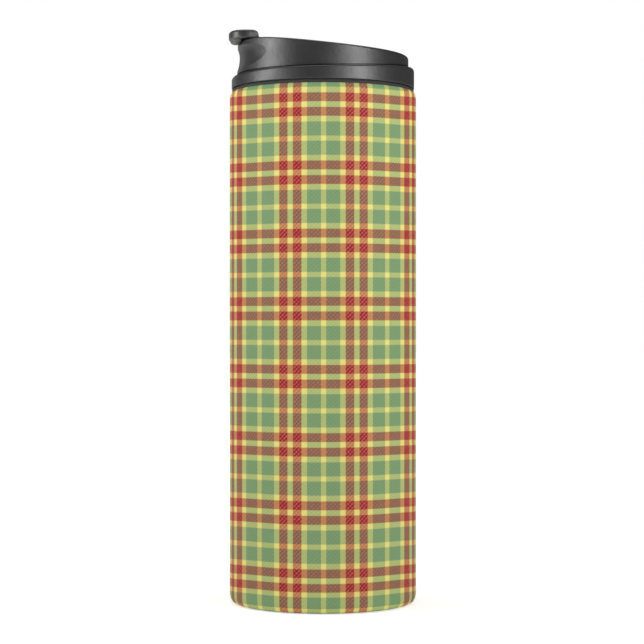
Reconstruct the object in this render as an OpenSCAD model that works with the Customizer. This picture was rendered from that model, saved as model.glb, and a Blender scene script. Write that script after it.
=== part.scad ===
// Double-walled steel travel flask with a screw-in flip-top lid.
// The origin is at the centre of the resting plane and +Z is up.
// The drinking side of the lid, with its thumb tab, faces -X.

/* [Flask body] */
// Outside diameter over the printed film
body_d = 70; // [68:1:74]
// Height of the shoulder's top above the resting plane
body_h = 191.2; // [150:0.1:230]
// Thickness of the printed film
film_t = 0.2; // [0.1:0.05:0.3]
// Thickness of the outer steel wall
shell_t = 0.6; // [0.5:0.1:0.8]
// Thickness of the inner steel wall
liner_t = 0.5; // [0.4:0.1:0.6]
// Radius of the rounded lower edge
base_round = 2.5; // [2:0.1:3]
// Radius of the rounded shoulder
shoulder_round = 2; // [1.5:0.1:2.5]
// Width of the vacuum gap between the two walls
vacuum_gap = 3; // [2:0.1:4]

/* [Mouth] */
// Inside height of the wider neck that takes the collar
neck_h = 13.6; // [12:0.1:16]
// Outside diameter of the collar's flange and of the lid
lid_d = 68.6; // [66:0.1:69]
// Advance of the lid for each whole turn
thread_lead = 8; // [6:0.5:8]
// Number of thread starts
thread_starts = 2; // [1:1:2]

/* [Lid] */
// Height of the lid's outer ring on the drinking side
ring_h = 4.8; // [4.5:0.1:6]
// How much higher the ring stands at the back
ring_rise = 3.65; // [2:0.05:4]
// Height of the lid's rim at the back, above the ring's foot
rim_back_h = 11.9; // [11:0.1:13]
// How much higher the rim stands on the drinking side
rim_rise = 5.6; // [4:0.1:6]
// Diameter of the dome's wall at its rim
dome_d = 63.8; // [62:0.1:64.2]
// Depth of the thumb scoop below the tab
scoop_depth = 0.8; // [0.5:0.1:1]

/* [Drinking hole] */
// Length of the hole across the lid
hole_len = 10; // [8:0.5:11]
// Width of the hole from front to back
hole_wid = 6; // [5:0.5:6]
// Distance of the hole's centre from the lid's axis
hole_x = 20.5; // [19:0.5:21]

/* [Flip cap] */
// Width of the flip cap's arm
arm_w = 15; // [13:0.5:15]
// Width of the thumb tab
tab_w = 14; // [13:0.5:15]
// Diameter of the steel hinge pin
pin_d = 2; // [1.5:0.1:2.4]

/* [Hidden] */
$fn = 96;
eps = 0.01;

// Radii of the body's layers, from the outside in
body_r = body_d / 2;
shell_r = body_r - film_t;
liner_out_r = shell_r - shell_t - vacuum_gap;
liner_r = liner_out_r - liner_t;
neck_out_r = body_r - shoulder_round;
neck_r = neck_out_r - liner_t;

// Heights in the body
foot_gap = 0.3;
base_corner = [body_r - base_round, foot_gap + base_round];
shoulder_corner = [body_r - shoulder_round, body_h - shoulder_round];
shell_foot = foot_gap + film_t;
neck_top = body_h - film_t;
neck_foot = neck_top - neck_h;
flare_h = neck_r - liner_r;
floor_z = 12;
floor_round = 8;

// Base disc, its recess and the pad in it
disc_t = 0.6;
recess_r = 29.2;
recess_z = 2.4;
pad_gap = 0.1;
pad_r = recess_r - 0.2;
port_r = 1.2;
bead_r = 3;
bead_t = 0.5;
pellet_r = 4;
pellet_h = 2.6;
clip_t = 0.4;
getter_x = 15;

// Collar, its seal and its thread
seal_h = 0.8;
collar_r = 31.0;
collar_out_r = neck_r - 0.1;
collar_foot = neck_foot + seal_h;
flange_t = 1.0;
lid_r = lid_d / 2;
thread_pitch = thread_lead / thread_starts;
thread_h = 1.0;
root_half = thread_pitch / 4;
crest_half = root_half * 0.6;
root_sink = 0.3;
plug_r = 29.7;
plug_wall = 1.6;
thread_turns = 1;
thread_steps = 36;
fade_steps = 4;
male_z = body_h - 11.2;
female_z = male_z + thread_pitch / 2;

// Heights in the lid
lid_foot = body_h + 1.4;
gasket_t = 0.8;
gasket_z = body_h + flange_t + 0.05;
flange_z = gasket_z + gasket_t + 0.05;
plug_flange_t = 1.5;
plug_flange_r = 33.0;
plug_foot = body_h - 15.2;
plug_floor_t = 2;
dome_foot = flange_z + plug_flange_t + 0.1;
seam_z = lid_foot + ring_h;
rim_z = lid_foot + rim_back_h;
rim_power = 2.4;
rim_cap_z = lid_foot + 16.8;
deck_z = lid_foot + 9.2;
deck_t = 1.8;
boss_z = lid_foot + 12.4;
ring_r = 32.45;
dome_r = dome_d / 2;
dome_foot_r = dome_r + 0.4;
well_x = 0.5;
well_r = 28.9;
roof_z = lid_foot + 22;

// Drinking and vent passages
boss_wall = 1.3;
tube_wall = 1.2;
tube_top = deck_z - deck_t - seal_h;
vent_x = 8;
vent_r = 1.2;
vent_boss_r = 2.6;

// Thumb scoop: a revolved shape around an axis behind the lid's axis
scoop_x = 6.2;
scoop_z = lid_foot + 11.7;
scoop_r = dome_r + 0.1 - scoop_depth + scoop_x;
scoop_low_r = 18;
scoop_high_r = 9;
scoop_low_h = 7.2;
scoop_high_h = 4.6;

// Flip cap
pin_r = pin_d / 2;
pin_len = 20.6;
hinge_gap = 0.05;
hinge_x = 3;
hinge_z = lid_foot + 12.9;
hub_r = 2.6;
ear_r = 2.8;
ear_t = 2.5;
ear_gap = 0.35;
arm_z = boss_z + 0.15;
arm_top = lid_foot + 16.6;
arm_front = -27;
pocket_z = arm_z + 2.3;
pocket_side = 1.0;
pocket_front = -25.4;
pocket_back = -15.6;
tab_tip = -35.9;
tab_back = -26.3;
tab_z = lid_foot + 17.3;
tab_top = lid_foot + 20.6;
tab_round = 1.5;
tab_corner = 6;
nose_front = tab_tip + 0.4;
nose_w = 9.2;
nose_corner = 4;
nose_back = -32.9;
nose_z = lid_foot + 15.5;
nose_round = 1.6;

// Points on an arc, in a plane whose axes are the profile's two directions
function arc(c, r, a0, a1, n = 8) =
    [for (i = [0:n]) let (a = a0 + (a1 - a0) * i / n) [c[0] + r * cos(a), c[1] + r * sin(a)]];
function reversed(p) = [for (i = [len(p) - 1:-1:0]) p[i]];

// The body's outer outline moved inwards by a depth
function skin(depth) = concat(
    arc(base_corner, base_round - depth, -90, 0),
    arc(shoulder_corner, shoulder_round - depth, 0, 90));

// The liner's inner outline moved outwards by a depth, up to a height
function cup(depth, top) = concat(
    [[0, floor_z - depth]],
    arc([liner_r - floor_round, floor_z + floor_round], floor_round + depth, -90, 0),
    [[liner_r + depth, top]]);

// Heights of the ring's upper seam and of the dome's rim along X
function seam_at(x) = seam_z + ring_rise * pow((x + lid_r) / lid_d, 3);
function rim_at(x) =
    min(rim_cap_z, rim_z + rim_rise * pow(max(0, (1 - x / dome_r) / 2), rim_power));

module tube(r_in, r_out, z0, z1) {
    translate([0, 0, z0])
        difference() {
            cylinder(h = z1 - z0, r = r_out);
            translate([0, 0, -1]) cylinder(h = z1 - z0 + 2, r = r_in);
        }
}

module rod(r, z0, z1) {
    translate([0, 0, z0]) cylinder(h = z1 - z0, r = r);
}

// A slot-shaped column with round ends, long across the lid
module slot_column(length, width, z0, z1) {
    translate([0, 0, z0])
        linear_extrude(z1 - z0) {
            square([width, length - width], center = true);
            for (side = [-1, 1])
                translate([0, side * (length - width) / 2]) circle(d = width);
        }
}

// A side outline in X and Z, given a width across the lid
module side_extrude(width) {
    rotate([90, 0, 0]) linear_extrude(width, center = true) children();
}

// Everything above a curved roof line
module above(heights, half_span) {
    side_extrude(100)
        polygon(concat([[half_span, roof_z + 10], [-half_span, roof_z + 10]], heights));
}

// One helical ridge, with its height fading at both ends
module ridge(root_r, crest_r, z0, turn0) {
    n = thread_steps * thread_turns;
    grow = (crest_r - root_r) / abs(crest_r - root_r);
    points = [for (i = [0:n])
        let (a = turn0 + 360 * i / thread_steps,
             z = z0 + thread_lead * i / thread_steps,
             fade = min(1, (i + 0.4) / fade_steps, (n - i + 0.4) / fade_steps),
             inner = root_r - grow * root_sink,
             outer = root_r + (crest_r - root_r) * fade)
        for (p = [[inner, -root_half], [outer, -crest_half], [outer, crest_half], [inner, root_half]])
            [p[0] * cos(a), p[0] * sin(a), z + p[1]]];
    sides = [for (i = [0:n - 1], j = [0:3])
        let (a = 4 * i + j, b = 4 * i + (j + 1) % 4)
        for (f = [[a, b, b + 4], [a, b + 4, a + 4]]) f];
    caps = [[0, 2, 1], [0, 3, 2], [4 * n, 4 * n + 1, 4 * n + 2], [4 * n, 4 * n + 2, 4 * n + 3]];
    faces = concat(sides, caps);
    polyhedron(points, grow > 0 ? faces : [for (f = faces) reversed(f)]);
}

module outer_shell() {
    color("silver")
        rotate_extrude()
            polygon(concat(skin(film_t), reversed(skin(film_t + shell_t))));
}

module printed_wrap() {
    color("olivedrab")
        rotate_extrude()
            polygon(concat(skin(0), reversed(skin(film_t))));
}

module inner_liner() {
    flare_foot = neck_foot - flare_h;
    inside = concat(cup(0, flare_foot), [[neck_r, neck_foot], [neck_r, neck_top]]);
    outside = concat(cup(liner_t, flare_foot - liner_t * 0.4),
        [[neck_out_r, neck_foot - liner_t * 0.4], [neck_out_r, neck_top]]);
    color("gainsboro")
        rotate_extrude()
            polygon(concat(outside, reversed(inside)));
}

module heat_shield() {
    foil_gap = 0.25;
    foil_t = 0.15;
    near = liner_t + foil_gap;
    top = neck_foot - flare_h - 3;
    color("peru")
        rotate_extrude()
            polygon(concat(cup(near + foil_t, top), reversed(cup(near, top))));
}

module base_disc() {
    rim_z1 = shell_foot + disc_t;
    outer_r = body_r - base_round;
    color("silver")
        difference() {
            rotate_extrude()
                polygon([
                    [0, recess_z], [recess_r, recess_z], [recess_r, shell_foot],
                    [outer_r, shell_foot], [outer_r, rim_z1],
                    [recess_r + disc_t, rim_z1], [recess_r + disc_t, recess_z + disc_t],
                    [0, recess_z + disc_t]]);
            rod(port_r, recess_z - 1, recess_z + disc_t + 1);
        }
}

module getter() {
    color("dimgray")
        translate([getter_x, 0, 0])
            rod(pellet_r, recess_z + disc_t + clip_t, recess_z + disc_t + clip_t + pellet_h);
}

module getter_clip() {
    z0 = recess_z + disc_t;
    color("lightslategray")
        translate([getter_x, 0, 0]) {
            rod(pellet_r + clip_t, z0, z0 + clip_t);
            tube(pellet_r, pellet_r + clip_t, z0, z0 + clip_t + pellet_h * 0.7);
        }
}

module seal_bead() {
    color("darkgoldenrod") {
        rod(port_r, recess_z - bead_t, recess_z + disc_t + 0.3);
        rod(bead_r, recess_z - bead_t, recess_z);
    }
}

module base_pad() {
    grip_r = 10;
    grip_depth = 0.4;
    color("#202020")
        difference() {
            rod(pad_r, 0, recess_z - pad_gap);
            rod(bead_r + 0.5, recess_z - bead_t - 0.3, recess_z);
            rod(grip_r, -1, grip_depth);
            tube(pad_r - 4, pad_r - 3, -1, grip_depth);
        }
}

module neck_collar() {
    color("#2b2b2b") {
        rotate_extrude()
            polygon([
                [collar_r, collar_foot], [collar_out_r, collar_foot], [collar_out_r, neck_top],
                [neck_out_r, neck_top], [neck_out_r, body_h], [lid_r, body_h],
                [lid_r, body_h + flange_t], [collar_r, body_h + flange_t]]);
        for (s = [0:thread_starts - 1])
            ridge(collar_r, collar_r - thread_h, female_z, 360 * s / thread_starts);
    }
}

module collar_seal() {
    color("#3a3a3a") tube(collar_r + 0.2, collar_out_r, neck_foot, collar_foot);
}

module lid_gasket() {
    color("#4a4a4a") tube(collar_r + 0.3, plug_flange_r - 0.1, gasket_z, gasket_z + gasket_t);
}

module lid_plug() {
    inner_r = plug_r - plug_wall;
    color("#262626") {
        difference() {
            union() {
                rotate_extrude()
                    polygon([
                        [0, plug_foot], [plug_r, plug_foot], [plug_r, flange_z],
                        [plug_flange_r, flange_z], [plug_flange_r, flange_z + plug_flange_t],
                        [inner_r, flange_z + plug_flange_t], [inner_r, plug_foot + plug_floor_t],
                        [0, plug_foot + plug_floor_t]]);
                translate([-hole_x, 0, 0])
                    slot_column(hole_len + 2 * tube_wall, hole_wid + 2 * tube_wall,
                        plug_foot + 1, tube_top);
                translate([-vent_x, 0, 0]) rod(vent_r + tube_wall, plug_foot + 1, tube_top);
            }
            translate([-hole_x, 0, 0])
                slot_column(hole_len, hole_wid, plug_foot - 1, tube_top + 1);
            translate([-vent_x, 0, 0]) rod(vent_r, plug_foot - 1, tube_top + 1);
        }
        for (s = [0:thread_starts - 1])
            ridge(plug_r, plug_r + thread_h, male_z, 360 * s / thread_starts);
    }
}

module lid_ring() {
    steps = 12;
    color("#2f2f2f")
        difference() {
            rotate_extrude()
                polygon([
                    [ring_r, dome_foot], [plug_flange_r + 0.1, dome_foot],
                    [plug_flange_r + 0.1, lid_foot], [lid_r, lid_foot],
                    [lid_r, roof_z], [ring_r, roof_z]]);
            above([for (i = [0:steps]) let (x = -36 + 72 * i / steps) [x, seam_at(x)]], 36);
        }
}

// Cutter for the thumb scoop: what lies outside a waisted, revolved surface
module scoop() {
    waist = concat(
        arc([scoop_r + scoop_low_r, scoop_z], scoop_low_r,
            180 + asin(scoop_low_h / scoop_low_r), 180),
        arc([scoop_r + scoop_high_r, scoop_z], scoop_high_r,
            180, 180 - asin(scoop_high_h / scoop_high_r)));
    translate([scoop_x, 0, 0])
        rotate_extrude()
            polygon(concat(waist,
                [[scoop_r + 8, scoop_z + scoop_high_h], [scoop_r + 8, scoop_z - scoop_low_h]]));
}

// One of the two ears that hold the hinge pin
module ear() {
    side_extrude(ear_t)
        difference() {
            union() {
                translate([hinge_x, hinge_z]) circle(r = ear_r);
                translate([hinge_x - ear_r, deck_z - 1])
                    square([2 * ear_r, hinge_z - deck_z + 1]);
            }
            translate([hinge_x, hinge_z]) circle(r = pin_r);
        }
}

module lid_dome() {
    steps = 16;
    ear_y = arm_w / 2 + ear_gap + ear_t / 2;
    color("#333333")
        difference() {
            union() {
                difference() {
                    rotate_extrude()
                        polygon([[0, dome_foot], [dome_foot_r, dome_foot], [dome_r, roof_z], [0, roof_z]]);
                    above([for (i = [0:steps]) let (x = -33 + 66 * i / steps) [x, rim_at(x)]], 33);
                    scoop();
                    translate([well_x, 0, 0]) rod(well_r, deck_z, roof_z + 1);
                    translate([well_x, 0, 0]) rod(well_r, dome_foot - 1, deck_z - deck_t);
                }
                translate([-hole_x, 0, 0])
                    slot_column(hole_len + 2 * boss_wall, hole_wid + 2 * boss_wall,
                        deck_z - 1, boss_z);
                translate([-vent_x, 0, 0]) rod(vent_boss_r, deck_z - 1, deck_z + 1);
                for (side = [-1, 1])
                    translate([0, side * ear_y, 0]) ear();
            }
            translate([-hole_x, 0, 0])
                slot_column(hole_len, hole_wid, dome_foot, roof_z);
            translate([-vent_x, 0, 0]) rod(vent_r, dome_foot, roof_z);
        }
}

module spout_seal() {
    z0 = tube_top;
    z1 = tube_top + seal_h;
    bridge = hole_x - hole_wid / 2 - vent_x;
    color("#555555")
        difference() {
            union() {
                translate([-hole_x, 0, 0])
                    slot_column(hole_len + 2 * tube_wall, hole_wid + 2 * tube_wall, z0, z1);
                translate([-vent_x, 0, 0]) rod(vent_r + tube_wall, z0, z1);
                translate([-vent_x - bridge / 2, 0, (z0 + z1) / 2])
                    cube([bridge, 3, z1 - z0], center = true);
            }
            translate([-hole_x, 0, 0]) slot_column(hole_len, hole_wid, z0 - 1, z1 + 1);
            translate([-vent_x, 0, 0]) rod(vent_r, z0 - 1, z1 + 1);
        }
}

module hinge_pin() {
    color("silver")
        translate([hinge_x, 0, hinge_z])
            rotate([90, 0, 0]) cylinder(h = pin_len, r = pin_r, center = true);
}

// A column with the round-fronted plan of the thumb tab or of its nose
module pad_column(width, corner) {
    translate([0, 0, nose_z - 1])
        linear_extrude(tab_top - nose_z + 2)
            polygon(concat(
                arc([tab_tip + corner, width / 2 - corner], corner, 90, 180),
                arc([tab_tip + corner, corner - width / 2], corner, 180, 270),
                [[tab_back + 1, -width / 2], [tab_back + 1, width / 2]]));
}

module flip_cap() {
    side = concat(
        arc([tab_back - tab_round, tab_top - tab_round], tab_round, 0, 90),
        arc([tab_tip + tab_round, tab_top - tab_round], tab_round, 90, 180),
        [[tab_tip, tab_z], [tab_back, tab_z]]);
    nose = concat(
        arc([nose_front + nose_round, nose_z + nose_round], nose_round, 180, 270),
        [[nose_back, nose_z], [nose_back, tab_z + 1], [nose_front, tab_z + 1]]);
    arm = [
        [hinge_x, arm_top - 1.2], [tab_back + 3, arm_top], [tab_back, tab_z + 0.6],
        [arm_front, tab_z + 0.6], [arm_front, arm_z], [hinge_x, arm_z]];
    color("#2c2c2c")
        difference() {
            union() {
                intersection() {
                    side_extrude(tab_w + 2) polygon(side);
                    pad_column(tab_w, tab_corner);
                }
                intersection() {
                    side_extrude(nose_w + 2) polygon(nose);
                    pad_column(nose_w, nose_corner);
                }
                side_extrude(arm_w) polygon(arm);
                side_extrude(arm_w) translate([hinge_x, hinge_z]) circle(r = hub_r);
            }
            translate([pocket_front, -arm_w / 2 + pocket_side, arm_z - 1])
                cube([pocket_back - pocket_front, arm_w - 2 * pocket_side, pocket_z - arm_z + 1]);
            translate([hinge_x, 0, hinge_z])
                rotate([90, 0, 0]) cylinder(h = arm_w + 2, r = pin_r + hinge_gap, center = true);
        }
}

module drink_stopper() {
    nub_gap = 0.3;
    nub_h = 1.5;
    pad_z = boss_z + 0.1;
    color("#6a6a6a") {
        translate([pocket_front + 0.05, -arm_w / 2 + pocket_side + 0.05, pad_z])
            cube([pocket_back - pocket_front - 0.1, arm_w - 2 * pocket_side - 0.1, pocket_z - pad_z]);
        translate([-hole_x, 0, 0])
            slot_column(hole_len - 2 * nub_gap, hole_wid - 2 * nub_gap, pad_z - nub_h, pad_z + eps);
    }
}

module vent_stopper() {
    color("#6a6a6a")
        translate([-vent_x, 0, 0]) {
            rod(vent_boss_r - 0.2, deck_z + 1.1, arm_z);
            rod(vent_r - 0.3, deck_z + 0.3, deck_z + 1.1 + eps);
        }
}

outer_shell();
printed_wrap();
inner_liner();
heat_shield();
base_disc();
getter();
getter_clip();
seal_bead();
base_pad();
neck_collar();
collar_seal();
lid_gasket();
lid_plug();
lid_ring();
lid_dome();
spout_seal();
hinge_pin();
flip_cap();
drink_stopper();
vent_stopper();
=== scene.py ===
"""The travel flask's looks: a plaid printed wall, a grained plastic lid and brushed steel inside."""
from math import acos, cos, degrees, pi, radians, sin, sqrt, tau

import bmesh
import bpy
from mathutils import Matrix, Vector


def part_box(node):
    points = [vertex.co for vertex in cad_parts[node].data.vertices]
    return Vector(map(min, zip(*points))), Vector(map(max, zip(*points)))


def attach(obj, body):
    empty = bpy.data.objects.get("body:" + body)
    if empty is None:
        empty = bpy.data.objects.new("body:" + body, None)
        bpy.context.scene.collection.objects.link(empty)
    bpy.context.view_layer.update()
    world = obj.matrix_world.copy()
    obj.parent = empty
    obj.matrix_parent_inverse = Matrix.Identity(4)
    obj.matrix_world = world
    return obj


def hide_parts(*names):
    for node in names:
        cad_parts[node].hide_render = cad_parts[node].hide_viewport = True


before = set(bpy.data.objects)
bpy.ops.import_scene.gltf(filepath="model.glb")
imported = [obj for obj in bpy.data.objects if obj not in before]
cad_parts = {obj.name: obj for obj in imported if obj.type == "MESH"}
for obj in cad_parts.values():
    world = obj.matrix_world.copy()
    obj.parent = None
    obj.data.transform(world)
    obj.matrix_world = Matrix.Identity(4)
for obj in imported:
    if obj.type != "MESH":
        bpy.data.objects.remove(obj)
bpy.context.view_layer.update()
scene = bpy.context.scene

MM = 0.001
ROUND = 256          # points round a full turn on the large pieces
COVER_ROUND = 720    # the same on the lid's cover, whose thumb scoop has a crisp edge
SLOT_ROUND = 48      # the same on the drinking hole
VENT_ROUND = 32      # the same on the vent
QUARTER = 8          # steps in a quarter-round
BEVEL_STEPS = 3
ON_AXIS = 1e-9       # the radius of a loop that is welded to one point
WELD = 1e-7          # points nearer than this are joined
SLIVER = 1e-8        # edges shorter than this are dissolved

# ---------------------------------------------------------------- sizes from the frame

wrap_low, wrap_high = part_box("printed_wrap")
collar_low, collar_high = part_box("neck_collar")
gasket_low, gasket_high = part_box("lid_gasket")
plug_low, plug_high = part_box("lid_plug")
ring_low, ring_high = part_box("lid_ring")
dome_low, dome_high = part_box("lid_dome")
cap_low, cap_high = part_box("flip_cap")
stopper_low, stopper_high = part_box("drink_stopper")
pin_low, pin_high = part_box("hinge_pin")
pad_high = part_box("base_pad")[1]
liner_low, liner_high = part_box("inner_liner")

BODY_R = wrap_high.x
SHOULDER_Z = wrap_high.z
FOOT_Z = wrap_low.z
LID_R = ring_high.x
LID_FOOT = ring_low.z
HINGE = (pin_low + pin_high) / 2


# ---------------------------------------------------------------- mesh helpers

def arc(centre, radius, start, end, steps=QUARTER):
    """Points on an arc; the angles are in degrees from the profile's first axis."""
    turns = [radians(start + (end - start) * i / steps) for i in range(steps + 1)]
    return [(centre[0] + radius * cos(t), centre[1] + radius * sin(t)) for t in turns]


def circle(radius, z, steps=ROUND, x=0.0):
    """A level loop of points, anticlockwise seen from above."""
    return [(x + radius * cos(tau * i / steps), radius * sin(tau * i / steps), z) for i in range(steps)]


def directions(steps):
    """The angles of a full turn, anticlockwise seen from above."""
    return [tau * i / steps for i in range(steps)]


def swept(turns, place_at):
    """A loop round the axis; place_at gives its radius and its height in one direction."""
    loop = []
    for turn in turns:
        r, z = place_at(turn)
        loop.append((r * cos(turn), r * sin(turn), z))
    return loop


def stadium(reach, half_core, x, z):
    """A level loop at one distance from a short line across the lid."""
    loop = []
    for turn in directions(SLOT_ROUND):
        side = half_core if sin(turn) >= 0 else -half_core
        loop.append((x + reach * cos(turn), side + reach * sin(turn), z))
    return loop


def add_loop(bm, points):
    return [bm.verts.new(p) for p in points]


def bridge(bm, low, high):
    """Quads between two loops of the same length."""
    n = len(low)
    for i in range(n):
        j = (i + 1) % n
        bm.faces.new((low[i], low[j], high[j], high[i]))


def loft(bm, loops, closed=True):
    """A skin through a list of loops; closed joins the last loop to the first."""
    rings = [add_loop(bm, loop) for loop in loops]
    for low, high in zip(rings, rings[1:] + (rings[:1] if closed else [])):
        bridge(bm, low, high)
    return rings


def capped_loft(bm, loops):
    """A solid through a list of loops, with a flat face on the first and the last."""
    rings = loft(bm, loops, closed=False)
    bm.faces.new(rings[0])
    bm.faces.new(rings[-1])


def turned(bm, profile):
    """A closed profile of (radius, height) points turned round the flask's axis."""
    loft(bm, [circle(max(r, ON_AXIS), z) for r, z in profile])


def loop_edges(bm, ring):
    n = len(ring)
    pairs = [(ring[i], ring[(i + 1) % n]) for i in range(n)]
    return [bm.edges.get(pair) or bm.edges.new(pair) for pair in pairs]


def fill(bm, rings):
    """A flat face between an outer ring and the rings of its holes."""
    edges = [e for ring in rings for e in loop_edges(bm, ring)]
    bmesh.ops.triangle_fill(bm, edges=edges, use_beauty=True)


def prism(bm, outline, y0, y1, holes=(), round_off=0.0):
    """A plate with an outline in X and Z, between two places across the lid, with rounded edges."""
    ends = []
    for y in (y0, y1):
        rings = [add_loop(bm, [(x, y, z) for x, z in loop]) for loop in (outline, *holes)]
        fill(bm, rings)
        ends.append(rings)
    for near, far in zip(*ends):
        bridge(bm, near, far)
    if round_off:
        rim = [e for rings in ends for e in loop_edges(bm, rings[0])]
        bmesh.ops.bevel(bm, geom=rim, offset=round_off, segments=BEVEL_STEPS, affect="EDGES",
                        profile=0.5, clamp_overlap=True)


def finish_mesh(bm, name, sharp=40):
    """Welds, turns the faces outwards and makes an object with soft shading up to an angle."""
    bmesh.ops.remove_doubles(bm, verts=bm.verts, dist=WELD)
    bmesh.ops.dissolve_degenerate(bm, edges=bm.edges, dist=SLIVER)
    bmesh.ops.recalc_face_normals(bm, faces=bm.faces)
    mesh = bpy.data.meshes.new(name)
    bm.to_mesh(mesh)
    bm.free()
    mesh.shade_smooth()
    mesh.set_sharp_from_angle(angle=radians(sharp))
    piece = bpy.data.objects.new(name, mesh)
    scene.collection.objects.link(piece)
    return piece


def place(piece, body, slot, material, *nodes):
    """Gives a piece its material and its body, and hides the CAD nodes it stands for."""
    piece.data.materials.clear()
    piece.data.materials.append(material)
    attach(piece, body)
    if nodes:
        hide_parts(*nodes)


def apply_modifiers(piece, modifiers):
    """Applies a list of (type, settings) modifiers to the piece's mesh."""
    for kind, settings in modifiers:
        mod = piece.modifiers.new(kind, kind)
        for key, value in settings.items():
            setattr(mod, key, value)
    bpy.context.view_layer.update()
    graph = bpy.context.evaluated_depsgraph_get()
    mesh = bpy.data.meshes.new_from_object(piece.evaluated_get(graph))
    piece.modifiers.clear()
    old = piece.data
    piece.data = mesh
    bpy.data.meshes.remove(old)


# ---------------------------------------------------------------- material helpers

class Shader:
    """A node tree with short ways to add nodes. Object coordinates are metres in the flask's frame."""

    def __init__(self, name):
        self.material = bpy.data.materials.new(name)
        self.material.use_nodes = True
        self.tree = self.material.node_tree
        self.tree.nodes.clear()
        self.surface = self.add("ShaderNodeBsdfPrincipled")
        output = self.add("ShaderNodeOutputMaterial")
        self.link(self.surface.outputs["BSDF"], output.inputs["Surface"])
        self.place = self.add("ShaderNodeTexCoord").outputs["Object"]

    def add(self, kind, **settings):
        node = self.tree.nodes.new(kind)
        for key, value in settings.items():
            setattr(node, key, value)
        return node

    def link(self, source, target):
        self.tree.links.new(source, target)

    def feed(self, socket, value):
        if isinstance(value, bpy.types.NodeSocket):
            self.link(value, socket)
        else:
            socket.default_value = value

    def axes(self):
        """The X, Y and Z of the shaded point."""
        split = self.add("ShaderNodeSeparateXYZ")
        self.link(self.place, split.inputs[0])
        return split.outputs

    def math(self, operation, a, b=0.0, c=0.0, clamp=False):
        node = self.add("ShaderNodeMath", operation=operation, use_clamp=clamp)
        for socket, value in zip(node.inputs, (a, b, c)):
            self.feed(socket, value)
        return node.outputs[0]

    def noise(self, size, detail=2.0, roughness=0.5, stretch=(1, 1, 1)):
        """Noise whose blobs are about one size across, in metres."""
        scaled = self.add("ShaderNodeVectorMath", operation="MULTIPLY")
        self.feed(scaled.inputs[0], self.place)
        self.feed(scaled.inputs[1], tuple(share / size for share in stretch))
        node = self.add("ShaderNodeTexNoise")
        self.link(scaled.outputs[0], node.inputs["Vector"])
        node.inputs["Scale"].default_value = 1.0
        node.inputs["Detail"].default_value = detail
        node.inputs["Roughness"].default_value = roughness
        return node.outputs["Fac"]

    def span(self, value, low, high, out_low, out_high):
        """The value moved from one range to another, and held at the ends."""
        node = self.add("ShaderNodeMapRange")
        self.feed(node.inputs["Value"], value)
        limits = {"From Min": low, "From Max": high, "To Min": out_low, "To Max": out_high}
        for key, number in limits.items():
            node.inputs[key].default_value = number
        return node.outputs[0]

    def mix(self, factor, a, b, blend="MIX"):
        node = self.add("ShaderNodeMix", data_type="RGBA", blend_type=blend)
        self.feed(node.inputs["Factor"], factor)
        for socket, value in zip([s for s in node.inputs if s.type == "RGBA"], (a, b)):
            self.feed(socket, value)
        return [s for s in node.outputs if s.type == "RGBA"][0]

    def bump(self, height, strength, distance):
        node = self.add("ShaderNodeBump")
        node.inputs["Strength"].default_value = strength
        node.inputs["Distance"].default_value = distance
        self.link(height, node.inputs["Height"])
        return node.outputs["Normal"]

    def set(self, **values):
        """Principled inputs, by name with underscores for spaces."""
        for key, value in values.items():
            self.feed(self.surface.inputs[key.replace("_", " ")], value)


def srgb(r, g, b):
    """A colour picked on a screen, 0 to 255, as linear light."""
    def linear(c):
        c /= 255
        return c / 12.92 if c <= 0.04045 else ((c + 0.055) / 1.055) ** 2.4
    return (linear(r), linear(g), linear(b), 1.0)


def screen(r, g, b):
    """The same colour kept as screen values, for mixing before the Gamma node."""
    return (r / 255, g / 255, b / 255, 1.0)


def toned(tone, share, lift=0.0):
    """A colour with each channel multiplied, then lifted."""
    return tuple(c * share + lift for c in tone[:3]) + (1,)


# ---------------------------------------------------------------- plastic

GRAIN = 0.22 * MM                      # fine spark-eroded grain
COARSE_GRAIN = 0.9 * MM
RIPPLE = 1.5 * MM                      # slight waves under the grain
RIPPLE_SHARE = 1.6                     # their height against the fine grain's
COARSE_SHARE = 0.5
PLASTIC_CLOUD = 9 * MM                 # broad changes of tone and gloss
GRAIN_DEPTH = 0.05 * MM
GLOSS_CHANGE = 0.08

WORN_PATCH = 1.6 * MM
WORN_EDGE = srgb(128, 126, 116)
WORN_LIP = srgb(104, 102, 92)
LIP_WORN_Z = LID_FOOT + 18.6 * MM      # the tab's lip is rubbed pale below this height
LIP_WORN_DROP = 1.6 * MM               # and fully so this much lower
LIP_WORN_X = -32.2 * MM                # it is rubbed only in front of this place
LIP_WORN_OUT = 1.4 * MM                # and fully so this much further out


def rubbed(s, colour, wear):
    """The plastic's colour with patchy pale edges, and with a pale lip on the tab."""
    point = s.add("ShaderNodeNewGeometry").outputs["Pointiness"]
    edge = s.span(point, 0.52, 0.60, 0.0, wear)
    patches = s.span(s.noise(WORN_PATCH, 3.0), 0.42, 0.62, 0.0, 1.0)
    colour = s.mix(s.math("MULTIPLY", edge, patches, clamp=True), colour, WORN_EDGE)
    x, _, z = s.axes()
    low = s.span(z, LIP_WORN_Z, LIP_WORN_Z - LIP_WORN_DROP, 0.0, 1.0)
    front = s.span(x, LIP_WORN_X, LIP_WORN_X - LIP_WORN_OUT, 0.0, 1.0)
    scuffs = s.span(s.noise(COARSE_GRAIN, 3.0), 0.40, 0.60, 0.0, 0.75)
    lip = s.math("MULTIPLY", s.math("MULTIPLY", low, front), scuffs)
    return s.mix(lip, colour, WORN_LIP)


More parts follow.
